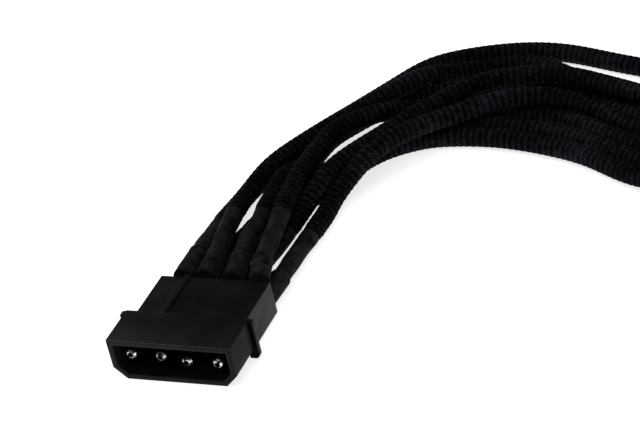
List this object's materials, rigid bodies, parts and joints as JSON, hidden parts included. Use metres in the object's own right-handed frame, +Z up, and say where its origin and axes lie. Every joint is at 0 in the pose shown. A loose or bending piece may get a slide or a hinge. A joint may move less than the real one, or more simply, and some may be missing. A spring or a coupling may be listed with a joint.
{
  "type": "four-pin power splitter cable",
  "caption": "Internal drive-power splitter cable: a shrouded pin connector whose contacts each feed braided, sleeved wires that run on to socket connectors.",
  "frame": {"origin": "centre of the pin housing in X and Y, on its underside", "axes": "+X along the row of contacts, -Y out of the pin housing's mating mouth, +Z up from the side with the cut corners"},
  "size_m": [0.1601, 0.1047, 0.0082],
  "materials": {
    "housing": "satin moulded nylon, black",
    "contact": "tin plated, bright",
    "sleeve": "fine black braid over insulated stranded wire",
    "shrink": "matte black heat-shrink",
    "insulation": "smooth black insulation"
  },
  "bodies": {
    "root": {"pin_contact_1": "contact", "pin_contact_2": "contact", "pin_contact_3": "contact", "pin_contact_4": "contact", "pin_end_lead_1_lower": "insulation", "pin_end_lead_1_upper": "insulation", "pin_end_lead_2_lower": "insulation", "pin_end_lead_2_upper": "insulation", "pin_end_lead_3_lower": "insulation", "pin_end_lead_3_upper": "insulation", "pin_end_lead_4_lower": "insulation", "pin_end_lead_4_upper": "insulation", "pin_end_shrink_1_lower": "shrink", "pin_end_shrink_1_upper": "shrink", "pin_end_shrink_2_lower": "shrink", "pin_end_shrink_2_upper": "shrink", "pin_end_shrink_3_lower": "shrink", "pin_end_shrink_3_upper": "shrink", "pin_end_shrink_4_lower": "shrink", "pin_end_shrink_4_upper": "shrink", "pin_housing": "housing", "sleeved_wire_1_lower": "sleeve", "sleeved_wire_1_upper": "sleeve", "sleeved_wire_2_lower": "sleeve", "sleeved_wire_2_upper": "sleeve", "sleeved_wire_3_lower": "sleeve", "sleeved_wire_3_upper": "sleeve", "sleeved_wire_4_lower": "sleeve", "sleeved_wire_4_upper": "sleeve", "socket_contact_a1": "contact", "socket_contact_a2": "contact", "socket_contact_a3": "contact", "socket_contact_a4": "contact", "socket_contact_b1": "contact", "socket_contact_b2": "contact", "socket_contact_b3": "contact", "socket_contact_b4": "contact", "socket_end_lead_1_lower": "insulation", "socket_end_lead_1_upper": "insulation", "socket_end_lead_2_lower": "insulation", "socket_end_lead_2_upper": "insulation", "socket_end_lead_3_lower": "insulation", "socket_end_lead_3_upper": "insulation", "socket_end_lead_4_lower": "insulation", "socket_end_lead_4_upper": "insulation", "socket_end_shrink_1_lower": "shrink", "socket_end_shrink_1_upper": "shrink", "socket_end_shrink_2_lower": "shrink", "socket_end_shrink_2_upper": "shrink", "socket_end_shrink_3_lower": "shrink", "socket_end_shrink_3_upper": "shrink", "socket_end_shrink_4_lower": "shrink", "socket_end_shrink_4_upper": "shrink", "socket_housing_a": "housing", "socket_housing_b": "housing"}
  },
  "joints": []
}
